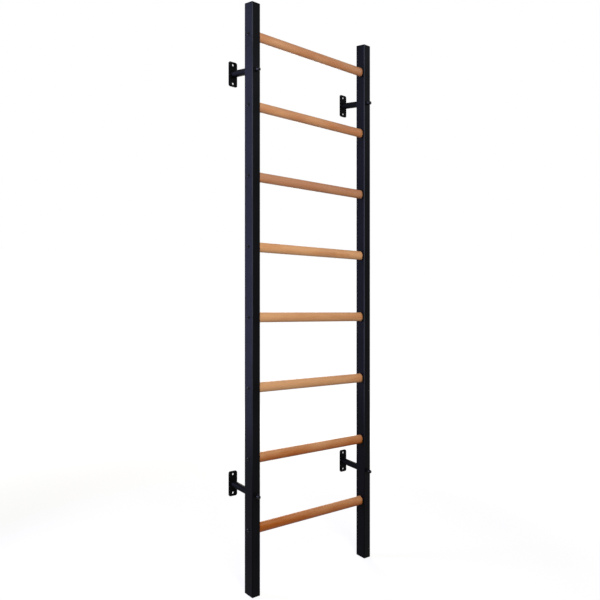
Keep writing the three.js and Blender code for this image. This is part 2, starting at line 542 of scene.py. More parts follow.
@dataclass(frozen=True)
class Wire:
    """A node's output, which takes part in Python arithmetic."""

    graph: Graph
    socket: bpy.types.NodeSocket | None

    def other(self, name: str) -> Wire:
        """Another output of the same node."""
        return Wire(self.graph, self.socket.node.outputs[name])

    def maths(self, operation: str, *values: Wire | float) -> Wire:
        """Add one Math node."""
        return self.graph.add("ShaderNodeMath", {"operation": operation}, dict(enumerate(values)))

    def at_least(self, other: Wire | float) -> Wire:
        """The larger of this value and another."""
        return self.maths("MAXIMUM", self, other)

    @property
    def centred(self) -> Wire:
        """A value from 0 to 1, measured from a half."""
        return self - 0.5

    @property
    def fraction(self) -> Wire:
        """What this value holds past a whole number."""
        return self.maths("FRACT", self)

    def __abs__(self) -> Wire:
        """This value without its sign."""
        return self.maths("ABSOLUTE", self)

    def __round__(self) -> Wire:
        """The whole number nearest to this value."""
        return self.maths("ROUND", self)

    def __add__(self, other: Wire | float) -> Wire:
        """This value plus another."""
        return self.maths("ADD", self, other)

    def __radd__(self, other: float) -> Wire:
        """A number plus this value."""
        return self.maths("ADD", other, self)

    def __sub__(self, other: Wire | float) -> Wire:
        """This value less another."""
        return self.maths("SUBTRACT", self, other)

    def __rsub__(self, other: float) -> Wire:
        """A number less this value."""
        return self.maths("SUBTRACT", other, self)

    def __mul__(self, other: Wire | float) -> Wire:
        """This value times another."""
        return self.maths("MULTIPLY", self, other)

    def __rmul__(self, other: float) -> Wire:
        """A number times this value."""
        return self.maths("MULTIPLY", other, self)

    def __truediv__(self, other: Wire | float) -> Wire:
        """This value over another."""
        return self.maths("DIVIDE", self, other)

    def __pow__(self, other: Wire | float) -> Wire:
        """This value to a power."""
        return self.maths("POWER", self, other)


class Graph:
    """A material's or the world's nodes."""

    def __init__(self, owner: bpy.types.Material | bpy.types.World) -> None:
        """Start an empty node tree.

        Args:
            owner: The material or world that the nodes belong to.
        """
        owner.use_nodes = True
        self.tree = owner.node_tree
        self.tree.nodes.clear()

    def add(
        self,
        kind: str,
        settings: Mapping[str, Any] | None = None,
        sockets: Mapping[str | int, Any] | None = None,
        output: str | int = 0,
    ) -> Wire:
        """Add a node.

        Args:
            kind: The node's type.
            settings: Its properties, and a ramp's stops as pairs of place and colour.
            sockets: Values or wires for its inputs, by name or number.
            output: The output to hand back.

        Returns:
            The chosen output, or an empty wire where the node has none.
        """
        node = self.tree.nodes.new(kind)
        for name, value in (settings or {}).items():
            if name == "stops":
                self.set_stops(node.color_ramp, value)
            else:
                setattr(node, name, value)
        for name, value in (sockets or {}).items():
            if isinstance(value, Wire):
                self.tree.links.new(value.socket, node.inputs[name])
            else:
                node.inputs[name].default_value = value
        return Wire(self, node.outputs[output] if node.outputs else None)

    @staticmethod
    def set_stops(ramp: bpy.types.ColorRamp, stops: list[tuple[float, Colour]]) -> None:
        """Give a colour ramp its stops.

        Args:
            ramp: The ramp, which has two stops at first.
            stops: Pairs of place and colour, in order.
        """
        while len(ramp.elements) < len(stops):
            ramp.elements.new(1.0)
        for element, (place, colour) in zip(ramp.elements, stops):
            element.position = place
            element.color = (*colour, 1.0)

    def place(self) -> Wire:
        """The place on the piece, in the frame's axes."""
        return self.add("ShaderNodeTexCoord", output="Object")

    def axes(self, place: Wire) -> Wire:
        """The X of a place, with its Y and Z as other outputs."""
        return self.add("ShaderNodeSeparateXYZ", None, {0: place}, output="X")

    def channels(self, colour: Wire) -> Wire:
        """The red of a colour, with its Green and Blue as other outputs."""
        return self.add("ShaderNodeSeparateColor", None, {0: colour}, output="Red")

    def stretched(self, place: Wire, scale: Triple) -> Wire:
        """Scale a place along each axis."""
        return self.add("ShaderNodeVectorMath", {"operation": "MULTIPLY"}, {0: place, 1: scale})

    def noise(self, place: Wire, scale: float, detail: float) -> Wire:
        """Noise from 0 to 1, of so many grains in a metre."""
        return self.add("ShaderNodeTexNoise", None, {"Vector": place, "Scale": scale, "Detail": detail})

    def drawn_noise(self, place: Wire, scale: Triple, detail: float) -> Wire:
        """Noise from 0 to 1, of so many grains in a metre of each axis."""
        return self.noise(self.stretched(place, scale), 1.0, detail)

    def blend(self, share: Wire, first: Wire | Colour, second: Wire | Colour) -> Wire:
        """Mix two colours by a share.

        Args:
            share: How much of the second colour shows.
            first: The first colour.
            second: The second colour.

        Returns:
            The mixed colour.
        """
        # A Mix node has sockets of one name for every type of data, so the colours' go by number.
        colours = [c if isinstance(c, Wire) else (*c, 1.0) for c in (first, second)]
        settings = {"data_type": "RGBA", "clamp_factor": True}
        return self.add("ShaderNodeMix", settings, {0: share, 6: colours[0], 7: colours[1]}, output=2)

    def step(self, value: Wire, low: float, high: float) -> Wire:
        """A smooth step from 0 at low to 1 at high."""
        sockets = {"Value": value, "From Min": low, "From Max": high}
        return self.add("ShaderNodeMapRange", {"interpolation_type": "SMOOTHSTEP"}, sockets)

    def bump(self, height: Wire, depth: float, strength: float) -> Wire:
        """A bumped normal from a height of 0 to 1 and its depth in metres."""
        return self.add("ShaderNodeBump", None, {"Height": height, "Distance": depth, "Strength": strength})

    def surface(self, sockets: Mapping[str, Any]) -> None:
        """Close the tree with a Principled shader."""
        shader = self.add("ShaderNodeBsdfPrincipled", None, sockets)
        self.add("ShaderNodeOutputMaterial", None, {"Surface": shader})


@dataclass(frozen=True)
class Finish(ABC):
    """A surface finish that makes its own material."""

    slot: Slot

    def material(self) -> bpy.types.Material:
        """Make the material.

        Returns:
            A new material with the finish's nodes.
        """
        made = bpy.data.materials.new(self.slot.value)
        self.shade(Graph(made))
        return made

    @abstractmethod
    def shade(self, graph: Graph) -> None:
        """Build the finish's nodes."""


@dataclass(frozen=True)
class PowderCoat(Finish):
    """Satin powder coat: a dark film with an orange-peel surface and a slightly uneven gloss."""

    thin: Colour
    full: Colour
    gloss: float
    roughness: float = 0.42
    film_scale: float = 7.0
    film_edges: Pair = (0.3, 0.7)
    film_roughness: float = 0.14
    peel: float = 2.6 * MM
    peel_height: float = 0.85
    grain: float = 0.5 * MM
    grain_height: float = 0.15
    grain_roughness: float = 0.1
    depth: float = 0.16 * MM
    strength: float = 0.7

    def shade(self, graph: Graph) -> None:
        """Build the coat's nodes.

        Args:
            graph: The material's empty node tree.
        """
        place = graph.place()
        film = graph.noise(place, self.film_scale, detail=3.0)
        peel = graph.noise(place, 1 / self.peel, detail=1.0)
        grain = graph.noise(place, 1 / self.grain, detail=2.0)
        colour = graph.blend(graph.step(film, *self.film_edges), self.thin, self.full)
        uneven = self.film_roughness * film.centred + self.grain_roughness * grain.centred
        height = self.peel_height * peel + self.grain_height * grain
        graph.surface({
            "Base Color": self.painted_corner_highlight(graph, place, colour),
            "Roughness": self.roughness + uneven,
            "Specular IOR Level": self.gloss,
            "Normal": graph.bump(height, self.depth, self.strength),
        })

    def painted_corner_highlight(self, graph: Graph, place: Wire, colour: Wire) -> Wire:
        """Leave the coat with no painted corner highlight."""
        return colour


@dataclass(frozen=True, kw_only=True)
class HighlitCoat(PowderCoat):
    """A tube's powder coat, with a highlight painted along the tube's rounded corners that fades out downwards."""

    highlight_colour: Colour
    low: Vector
    high: Vector
    corner: float = TUBE_CORNER
    # The heights in metres over which the painted corner highlight fades in from below.
    reach: Pair = (0.3, 1.0)
    patch_scale: Triple = (60.0, 60.0, 5.0)
    patch_edges: Pair = (0.2, 0.6)
    patch_share: float = 0.5
    corner_edges: Pair = (0.05, 0.4)

    def painted_corner_highlight(self, graph: Graph, place: Wire, colour: Wire) -> Wire:
        """Paint a highlight on both uprights' rounded corners, which stand at like distances from the middle.

        Args:
            graph: The material's nodes.
            place: The place on the tube.
            colour: The colour of the coat as new.

        Returns:
            The colour with its wear.
        """
        across = graph.axes(place)
        centre = (self.low + self.high) / 2
        half = (self.high - self.low) / 2
        aside = abs(abs(across) - abs(centre.x))
        deep = abs(across.other("Y") - centre.y)
        on_side = (aside - (half.x - self.corner)) / self.corner
        on_front = (deep - (half.y - self.corner)) / self.corner
        round_corner = on_side.at_least(0.0) * on_front.at_least(0.0)
        # Painted highlight: the corners are lightened in patches, less towards the bottom, as the light falls.
        patchy = graph.step(graph.drawn_noise(place, self.patch_scale, detail=3.0), *self.patch_edges)
        height_fade = graph.step(across.other("Z"), *self.reach)
        highlight_share = (1.0 - self.patch_share + self.patch_share * patchy) * height_fade
        return graph.blend(graph.step(round_corner, *self.corner_edges) * highlight_share, colour, self.highlight_colour)


@dataclass(frozen=True)
class Beech(Finish):
    """Lacquered steamed beech: growth rings, fine fibres and short dark flecks along each rung."""

    pale: Colour
    amber: Colour
    rose: Colour
    fleck: Colour
    first: Vector
    pitch: float
    half_height: float

    # How each rung's colour differs, from the floor up. A drift is how much more amber its left end is.
    # The amber of the two lowest rungs and the drifts are painted warm bounce light; the rest is each rung's tone.
    amber_shares: tuple[float, ...] = (0.92, 0.76, 0.02, 0.14, 0.02, 0.08, 0.16, 0.08)
    painted_amber_drifts: tuple[float, ...] = (0.34, 0.05, -0.12, 0.0, -0.06, -0.06, -0.12, 0.0)
    rose_shares: tuple[float, ...] = (0.0, 0.0, 0.0, 0.0, 0.05, 0.85, 0.58, 0.8)
    drift_reach: float = 300 * MM
    # Painted warm light: how much more amber a rung's underside is, and how much paler its top.
    painted_underside_share: float = 0.5

    # The growth rings and the heart that they go round, which lies below each rung.
    seed: float = 4.37
    ring: float = 2.4 * MM
    ring_sharpness: float = 3.0
    heart_wander: float = 160 * MM
    heart_drop: float = 50 * MM
    heart_spread: float = 70 * MM
    sway: float = 11 * MM
    sway_scale: Triple = (1.6, 9.0, 9.0)

    # The grain, in grains to a metre, and what it adds to the amber and to the rose.
    streak_scale: Triple = (1.3, 55.0, 55.0)
    fibre_scale: Triple = (22.0, 950.0, 950.0)
    patch_scale: Triple = (7.5, 30.0, 30.0)
    streak_amber: float = 0.7
    fibre_amber: float = 0.55
    ring_amber: float = 0.26
    grain_level: float = 0.06
    patch_amber: float = 0.8
    streak_rose: float = 0.6
    patch_rose: float = 1.2

    fleck_length: float = 4.2 * MM
    fleck_width: float = 0.75 * MM
    fleck_edges: Pair = (0.18, 0.36)
    fleck_draws: Pair = (0.35, 0.6)
    fleck_share: float = 0.5

    roughness: float = 0.46
    fibre_roughness: float = 0.16
    ring_roughness: float = 0.08
    gloss: float = 0.14
    lacquer: float = 0.1
    streak_lacquer: float = 0.08
    lacquer_roughness: float = 0.28
    fleck_dent: float = 0.4
    fibre_dent: float = 0.5
    depth: float = 0.08 * MM
    strength: float = 0.35

    def shade(self, graph: Graph) -> None:
        """Build the wood's nodes.

        Args:
            graph: The material's empty node tree.
        """
        place = graph.place()
        along = graph.axes(place)
        number = round((along.other("Z") - self.first.z) / self.pitch)
        up = along.other("Z") - self.first.z - self.pitch * number
        ring = self.rings(graph, place, number, up)
        fleck = self.flecks(graph, place)
        streak = graph.drawn_noise(place, self.streak_scale, detail=2.0).centred
        fibre = graph.drawn_noise(place, self.fibre_scale, detail=2.0).centred
        patch = graph.channels(graph.drawn_noise(place, self.patch_scale, detail=1.0).other("Color"))

        rung_tone_and_painted_light = self.rung_tone_and_painted_light(graph, number)
        # Painted warm light: each rung's underside is made more amber and its top paler.
        amber_with_painted_underside = rung_tone_and_painted_light * (1.0 - self.painted_underside_share * up / self.half_height)
        # Painted warm bounce light: some rungs grow more amber towards their left ends.
        painted_drift = rung_tone_and_painted_light.other("Blue").centred * along / self.drift_reach
        grain = self.streak_amber * streak + self.fibre_amber * fibre + self.ring_amber * ring
        warmth = amber_with_painted_underside + painted_drift + grain - self.grain_level + self.patch_amber * patch.centred
        rosy = rung_tone_and_painted_light.other("Green") - self.streak_rose * streak
        blush = rosy + self.patch_rose * patch.other("Green").centred
        wood = graph.blend(warmth, graph.blend(blush, self.pale, self.rose), self.amber)
        height = 0.5 - self.fleck_dent * fleck + self.fibre_dent * fibre
        graph.surface({
            "Base Color": graph.blend(self.fleck_share * fleck, wood, self.fleck),
            "Roughness": self.roughness + self.fibre_roughness * fibre + self.ring_roughness * ring,
            "Specular IOR Level": self.gloss,
            "Coat Weight": self.lacquer + self.streak_lacquer * streak,
            "Coat Roughness": self.lacquer_roughness,
            "Normal": graph.bump(height, self.depth, self.strength),
        })

    def rung_tone_and_painted_light(self, graph: Graph, number: Wire) -> Wire:
        """Look up a rung's tones and its painted warm bounce light.

        Args:
            graph: The material's nodes.
            number: The rung's number, from nought at the floor.

        Returns:
            The amber share, in part painted warm bounce light, with the rose share as Green and the
            painted drift as Blue. A ramp holds nothing below nought, so the drift is taken from a half.
        """
        last = RUNG_COUNT - 1
        rung_tones_and_painted_light = enumerate(zip(self.amber_shares, self.rose_shares, self.painted_amber_drifts))
        stops = [(place / last, (amber, rose, 0.5 - painted_drift)) for place, (amber, rose, painted_drift) in rung_tones_and_painted_light]
        return graph.channels(graph.add("ShaderNodeValToRGB", {"stops": stops}, {0: number / last}))

    def rings(self, graph: Graph, place: Wire, number: Wire, up: Wire) -> Wire:
        """Draw growth rings round a heart that has its own place for each rung.

        Args:
            graph: The material's nodes.
            place: The place on the rung.
            number: The rung's number.
            up: The height above the rung's axis.

        Returns:
            A value that climbs from nought to one through each ring.
        """
        chance = graph.add("ShaderNodeTexWhiteNoise", {"noise_dimensions": "1D"}, {"W": number + self.seed})
        draw = graph.channels(chance.other("Color"))
        sway = graph.drawn_noise(place, self.sway_scale, detail=2.0).centred
        across = graph.axes(place).other("Y") - self.first.y + self.heart_wander * draw.centred
        height = up + self.heart_drop + self.heart_spread * draw.other("Green")
        radius = (across * across + height * height) ** 0.5 + self.sway * sway
        return (radius / self.ring).fraction ** self.ring_sharpness

    def flecks(self, graph: Graph, place: Wire) -> Wire:
        """Scatter short flecks along the grain.

        Args:
            graph: The material's nodes.
            place: The place on the rung.

        Returns:
            One on a fleck and nought beside it.
        """
        cells = graph.stretched(place, (1 / self.fleck_length, 1 / self.fleck_width, 1 / self.fleck_width))
        spot = graph.add("ShaderNodeTexVoronoi", None, {"Vector": cells, "Scale": 1.0, "Randomness": 1.0})
        draw = graph.channels(spot.other("Color"))
        return (1.0 - graph.step(spot, *self.fleck_edges)) * graph.step(draw, *self.fleck_draws)


@dataclass(frozen=True)
class MouldedPlastic(Finish):
    """Black moulded plastic with a fine spark-eroded texture."""

    dark: Colour
    light: Colour
    gloss: float = 0.02
    roughness: float = 0.55
    spark: float = 0.45 * MM
    spark_roughness: float = 0.12
    flow_scale: float = 40.0
    flow_roughness: float = 0.08
    depth: float = 0.05 * MM
    strength: float = 0.4

    def shade(self, graph: Graph) -> None:
        """Build the plastic's nodes.

        Args:
            graph: The material's empty node tree.
        """
        place = graph.place()
        spark = graph.noise(place, 1 / self.spark, detail=2.0)
        flow = graph.noise(place, self.flow_scale, detail=2.0)
        uneven = self.spark_roughness * spark.centred + self.flow_roughness * flow.centred
        graph.surface({
            "Base Color": graph.blend(flow, self.dark, self.light),
            "Roughness": self.roughness + uneven,
            "Specular IOR Level": self.gloss,
            "Normal": graph.bump(spark, self.depth, self.strength),
        })


@dataclass(frozen=True)
class PlatedSteel(Finish):
    """Plated or blackened steel, with a cloudy film and fine drawing marks."""

    dark: Colour
    light: Colour
    metal: float
    roughness: float
    gloss: float = 0.5
    cloud_scale: float = 260.0
    cloud_edges: Pair = (0.3, 0.7)
    cloud_height: float = 0.6
    cloud_roughness: float = 0.16
    mark_scale: Triple = (4200.0, 900.0, 900.0)
    mark_height: float = 0.4
    mark_roughness: float = 0.08
    depth: float = 0.02 * MM
    strength: float = 0.4

    def shade(self, graph: Graph) -> None:
        """Build the steel's nodes.

        Args:
            graph: The material's empty node tree.
        """
        place = graph.place()
        cloud = graph.noise(place, self.cloud_scale, detail=3.0)
        marks = graph.drawn_noise(place, self.mark_scale, detail=1.0)
        uneven = self.cloud_roughness * cloud.centred + self.mark_roughness * marks.centred
        height = self.cloud_height * cloud + self.mark_height * marks
        graph.surface({
            "Base Color": graph.blend(graph.step(cloud, *self.cloud_edges), self.dark, self.light),
            "Metallic": self.metal,
            "Specular IOR Level": self.gloss,
            "Roughness": self.roughness + uneven,
            "Normal": graph.bump(height, self.depth, self.strength),
        })


class Paintshop:
    """The finishes, each made into its material once."""

    def __init__(self) -> None:
        """Make every material."""
        tube_low, tube_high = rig.box("right_upright")
        rung_low, rung_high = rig.box("rung_1")
        first = middle("rung_1")
        finishes = (
            # The uprights' coat has a highlight painted along its corners, in the highlight colour.
            HighlitCoat(
                Slot.UPRIGHT_PAINT, thin=linear(14, 14, 17), full=linear(9, 9, 11), highlight_colour=linear(56, 58, 66),
                gloss=0.028, roughness=0.36, low=tube_low, high=tube_high),
            PowderCoat(Slot.BRACKET_PAINT, thin=linear(12, 12, 13), full=linear(9, 9, 10), gloss=0.02),
            Beech(
                Slot.RUNG_BEECH, pale=linear(209, 156, 108), amber=linear(168, 86, 16),
                rose=linear(174, 122, 88), fleck=linear(120, 70, 38), first=first,
                pitch=middle("rung_2").z - first.z, half_height=(rung_high.z - rung_low.z) / 2),
            MouldedPlastic(Slot.CAP_PLASTIC, dark=linear(8, 8, 9), light=linear(12, 12, 14)),
            PlatedSteel(
                Slot.FASTENER_BLACK, dark=linear(10, 10, 11), light=linear(17, 17, 19), metal=0.3,
                roughness=0.24, gloss=0.18),
            PlatedSteel(
                Slot.INSERT_ZINC, dark=linear(168, 164, 146), light=linear(198, 194, 178), metal=1.0,
                roughness=0.4),
        )
        self.materials = {finish.slot: finish.material() for finish in finishes}

    def dress(self, piece: Piece, slot: Slot, node: str) -> None:
        """Give a finished piece its material, its slot and its place in the frame.

        Args:
            piece: The finished piece.
            slot: The material slot that it takes its finish from.
            node: The frame's node that it stands for.
        """
        piece.data.materials.clear()
        piece.data.materials.append(self.materials[slot])
        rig.ride(piece, BODY)
        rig.replaces(piece, node)
        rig.slot(piece, slot.value)
        LOG.info("%s stands for %s with %d faces", piece.name, node, len(piece.data.polygons))


@dataclass(frozen=True)
class Pattern:
    """A finished piece that is copied to other places, and the words that go before a place's name."""

    piece: Piece
    name: str
    slot: Slot
    node: str


@dataclass
class Upright:
    """A rectangular steel tube, drilled for the rungs, their bolts and the brackets' studs."""

    side: Side
    shop: Paintshop
    wall: float = TUBE_WALL
    corner: float = TUBE_CORNER
    inner_corner: float = 2 * MM
    corner_steps: int = 6
    socket_room: float = ROOM
    socket_sides: int = 72
    bolt_hole: float = 9 * MM
    stud_hole: float = 11 * MM
    hole_sides: int = 32

    def build(self) -> None:
        """Model and dress the tube."""
        node = f"{self.side.value}_upright"
        low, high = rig.box(node)
        tube = Bench.block(f"tube_{self.side.value}", low, high)
        Bench.soften(tube, runs_along(Axis.Z), self.corner, self.corner_steps)
        margin = Vector((self.wall, self.wall, -self.wall))
        core = Bench.block("core", low + margin, high - margin)
        Bench.soften(core, runs_along(Axis.Z), self.inner_corner, self.corner_steps)
        Bench.combine(tube, [core], Work.CUT)
        drills = self.rung_drills(low, high) + self.stud_drills(low, high)
        Bench.combine(tube, [Bench.merge(drills)], Work.CUT)
        Bench.polish(tube)
        self.shop.dress(tube, Slot.UPRIGHT_PAINT, node)

    def rung_drills(self, low: Vector, high: Vector) -> list[Piece]:
        """Make the bars that cut each rung's socket in the inner wall and its bolt hole in the outer.

        Args:
            low: The tube's lowest corner.
            high: The tube's highest corner.

        Returns:
            Two bars for each rung, each long enough to pass one wall.
        """
        outer_face, inner_face = (low.x, high.x) if self.side is Side.LEFT else (high.x, low.x)
        length = 4 * self.wall
        drills = []
        for number in range(1, RUNG_COUNT + 1):
            rung_low, rung_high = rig.box(f"rung_{number}")
            axis = (rung_low + rung_high) / 2
            section = rung_high - rung_low + 2 * self.socket_room * Vector((0, 1, 1))
            inner = Vector((inner_face, axis.y, axis.z))
            outer = Vector((outer_face, axis.y, axis.z))
            socket = Bench.rod("socket", Axis.X, section.z / 2, length, inner, self.socket_sides)
            Bench.squeeze(socket, section.y / section.z, inner)
            hole = Bench.rod("bolt_hole", Axis.X, self.bolt_hole / 2, length, outer, self.hole_sides)
            drills += [socket, hole]
        return drills

    def stud_drills(self, low: Vector, high: Vector) -> list[Piece]:
        """Make the bars that cut the stud holes from front to back.

        Args:
            low: The tube's lowest corner.
            high: The tube's highest corner.

        Returns:
            One bar for each bracket on the tube.
        """
        length = 2 * (high.y - low.y)
        drills = []
        for level in Level:
            axis = middle(f"bracket_washer_{level.value}_{self.side.value}")
            centre = Vector((axis.x, (low.y + high.y) / 2, axis.z))
            hole = Bench.rod("stud_hole", Axis.Y, self.stud_hole / 2, length, centre, self.hole_sides)
            drills.append(hole)
        return drills


@dataclass
class EndCaps:
    """Moulded caps: a flange with a softened rim and a hollow plug with gripping ribs."""

    shop: Paintshop
    flange: float = 3 * MM
    corner: float = TUBE_CORNER
    corner_steps: int = 6
    rim: float = 0.8 * MM
    rim_steps: int = 3
    tube_wall: float = TUBE_WALL
    room: float = ROOM
    rib_stand: float = 1 * MM
    rib_height: float = 1.5 * MM
    rib_pitch: float = 6 * MM
    rib_count: int = 2
    plug_wall: float = 2 * MM
    plug_corner: float = 2 * MM
    plug_corner_steps: int = 4

    def build(self) -> None:
        """Model one cap, and copy it to the other tube ends."""
        cap = self.cap()
        start = middle("top_cap_left")
        for side in Side:
            for end in TubeEnd:
                node = f"{end.value}_cap_{side.value}"
                if node == "top_cap_left":
                    continue
                twin = Bench.twin(cap, f"cap_{end.value}_{side.value}", middle(node) - start)
                if end is TubeEnd.BOTTOM:
                    Bench.half_turn(twin, Axis.X, middle(node))
                self.shop.dress(twin, Slot.CAP_PLASTIC, node)
        self.shop.dress(cap, Slot.CAP_PLASTIC, "top_cap_left")

    def cap(self) -> Piece:
        """Model the cap in the top of the left upright.

        Returns:
            The finished cap.
        """
        low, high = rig.box("top_cap_left")
        seat = high.z - self.flange
        cap = Bench.block("cap_top_left", Vector((low.x, low.y, seat)), high)
        Bench.soften(cap, runs_along(Axis.Z), self.corner, self.corner_steps)
        Bench.soften(cap, lies_at(Axis.Z, high.z), self.rim, self.rim_steps)
        with Bench.editing(cap, Select.FACES):
            Bench.pick(cap, Select.FACES, looks_along(Axis.Z, -1))
            bpy.ops.mesh.inset(thickness=self.tube_wall + self.room + self.rib_stand)
            Bench.pull(Axis.Z, low.z - seat)
            bpy.ops.mesh.inset(thickness=self.plug_wall)
            Bench.pull(Axis.Z, seat - low.z)
        for number in range(1, self.rib_count + 1):
            Bench.combine(cap, [self.rib(low, high, seat - number * self.rib_pitch)], Work.JOIN)
        Bench.polish(cap)
        return cap

    def rib(self, low: Vector, high: Vector, top: float) -> Piece:
        """Model a ring round the plug that grips the tube.

        Args:
            low: The cap's lowest corner.
            high: The cap's highest corner.
            top: The height of the ring's upper face.

        Returns:
            The ring, which reaches half through the plug's wall.
        """
        all_round = Vector((1, 1, 0))
        inset = all_round * (self.tube_wall + self.room)
        hollow = inset + all_round * (self.rib_stand + self.plug_wall / 2)
        ring = Bench.block(
            "rib",
            Vector((low.x, low.y, top - self.rib_height)) + inset,
            Vector((high.x, high.y, top)) - inset)
        Bench.soften(ring, runs_along(Axis.Z), self.plug_corner, self.plug_corner_steps)
        opening = Bench.block(
            "opening",
            Vector((low.x, low.y, top - 2 * self.rib_height)) + hollow,
            Vector((high.x, high.y, top + self.rib_height)) - hollow)
        Bench.combine(ring, [opening], Work.CUT)
        return ring


@dataclass
class Rungs:
    """Oval beech rungs, each with a threaded insert and a button-head bolt in both ends."""

    shop: Paintshop
    chamfer: float = 1.5 * MM
    chamfer_steps: int = 3
    rung_sides: int = 72
    bore: float = 12.6 * MM
    bore_depth: float = 28.5 * MM
    bore_sides: int = 40

    head_rim: float = 0.8 * MM
    head_sides: int = 48
    shank: float = 8 * MM
    tip_share: float = 0.8
    socket: float = 5 * MM
    socket_depth: float = 2.4 * MM

    insert_wall: float = 1.7 * MM
    insert_sides: int = 32
    plain_turns: int = 2
    thread_pitch: float = 2.5 * MM
    thread_stand: float = 0.9 * MM

    # A ridge of the thread, in shares of its pitch.
    thread_flank: float = 0.25
    thread_crest: float = 0.4
    thread_root: float = 0.1

    def build(self) -> None:
        """Model one rung, one bolt and one insert, and copy them to the other places."""
        first = middle("rung_1")
        rung = self.rung()
        ends = (
            Pattern(self.bolt(), "button_bolt", Slot.FASTENER_BLACK, "rung_bolt"),
            Pattern(self.insert(), "insert", Slot.INSERT_ZINC, "threaded_insert"),
        )
        for number in range(1, RUNG_COUNT + 1):
            rise = Vector((0, 0, middle(f"rung_{number}").z - first.z))
            if number > 1:
                twin = Bench.twin(rung, f"beech_rung_{number}", rise)
                self.shop.dress(twin, Slot.RUNG_BEECH, f"rung_{number}")
            for side in Side:
                place = f"{side.value}_{number}"
                if place == "left_1":
                    continue
                for pattern in ends:
                    twin = Bench.twin(pattern.piece, f"{pattern.name}_{place}", rise)
                    if side is Side.RIGHT:
                        Bench.half_turn(twin, Axis.Z, Vector((0, first.y, 0)))
                    self.shop.dress(twin, pattern.slot, f"{pattern.node}_{place}")
        self.shop.dress(rung, Slot.RUNG_BEECH, "rung_1")
        for pattern in ends:
            self.shop.dress(pattern.piece, pattern.slot, f"{pattern.node}_left_1")

    def rung(self) -> Piece:
        """Model the lowest rung: an oval bar with rounded ends and a bore in each.

        Returns:
            The finished rung.
        """
        low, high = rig.box("rung_1")
        centre = (low + high) / 2
        size = high - low
        rung = Bench.rod("beech_rung_1", Axis.X, size.z / 2, size.x, centre, self.rung_sides)
        for end in (low.x, high.x):
            Bench.soften(rung, lies_at(Axis.X, end), self.chamfer, self.chamfer_steps)
        Bench.squeeze(rung, size.y / size.z, centre)
        for end in (low.x, high.x):
            mouth = Vector((end, centre.y, centre.z))
            bore = Bench.rod("bore", Axis.X, self.bore / 2, 2 * self.bore_depth, mouth, self.bore_sides)
            Bench.combine(rung, [bore], Work.CUT)
        Bench.polish(rung)
        return rung

    def bolt(self) -> Piece:
        """Model the bolt in the left end of the lowest rung.

        Returns:
            A low dome with a hexagon socket, on a shank with a tapered tip.
        """
        low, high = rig.box("rung_bolt_left_1")
        centre = (low + high) / 2
        crown = Vector((low.x, centre.y, centre.z))
        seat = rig.box("left_upright")[0].x
        head = (high.z - low.z) / 2
        rise = seat - low.x - self.head_rim
        ball = (rise * rise + head * head) / (2 * rise)
        ball_centre = Vector((low.x + ball, centre.y, centre.z))
        bolt = Bench.ball("button_bolt_left_1", Axis.X, ball, ball_centre, self.head_sides)
        Bench.slice_off(bolt, Vector((seat - self.head_rim, centre.y, centre.z)), Axis.X)
        with Bench.editing(bolt, Select.FACES):
            Bench.pick(bolt, Select.FACES, looks_along(Axis.X, 1))
            Bench.pull(Axis.X, self.head_rim)
            bpy.ops.mesh.inset(thickness=head - self.shank / 2)
            Bench.pull(Axis.X, high.x - seat - self.head_rim)
            Bench.pull(Axis.X, self.head_rim)
            Bench.swell(Axis.X, self.tip_share)
        key = Bench.rod("key", Axis.X, self.socket / math.sqrt(3), 2 * self.socket_depth, crown, HEXAGON)
        Bench.combine(bolt, [key], Work.CUT)
        Bench.polish(bolt)
        return bolt

    def insert(self) -> Piece:
        """Model the insert in the left end of the lowest rung.

        Returns:
            A sleeve with ridges that stand for its coarse outer thread.
        """
        low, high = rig.box("threaded_insert_left_1")
        centre = (low + high) / 2
        length = high.x - low.x
        radius = (high.z - low.z) / 2
        root = radius - self.thread_stand
        growth = radius / root
        turns = int(length / self.thread_pitch) - self.plain_turns
        lead = (length - turns * self.thread_pitch) / 2
        ridge = (
            (self.thread_flank, growth),
            (self.thread_crest, 1.0),
            (self.thread_flank, 1 / growth),
            (self.thread_root, 1.0),
        )
        start = Vector((low.x + lead / 2, centre.y, centre.z))
        sleeve = Bench.rod("insert_left_1", Axis.X, root, lead, start, self.insert_sides)
        with Bench.editing(sleeve, Select.FACES):
            Bench.pick(sleeve, Select.FACES, looks_along(Axis.X, 1))
            for run, swelling in turns * ridge:
                Bench.pull(Axis.X, run * self.thread_pitch)
                Bench.swell(Axis.X, swelling)
            Bench.pull(Axis.X, lead)
            Bench.pick(sleeve, Select.FACES, looks_along(Axis.X, 1, -1))
            bpy.ops.mesh.inset(thickness=self.insert_wall - self.thread_stand)
            bpy.ops.mesh.bridge_edge_loops()
        Bench.polish(sleeve)
        return sleeve


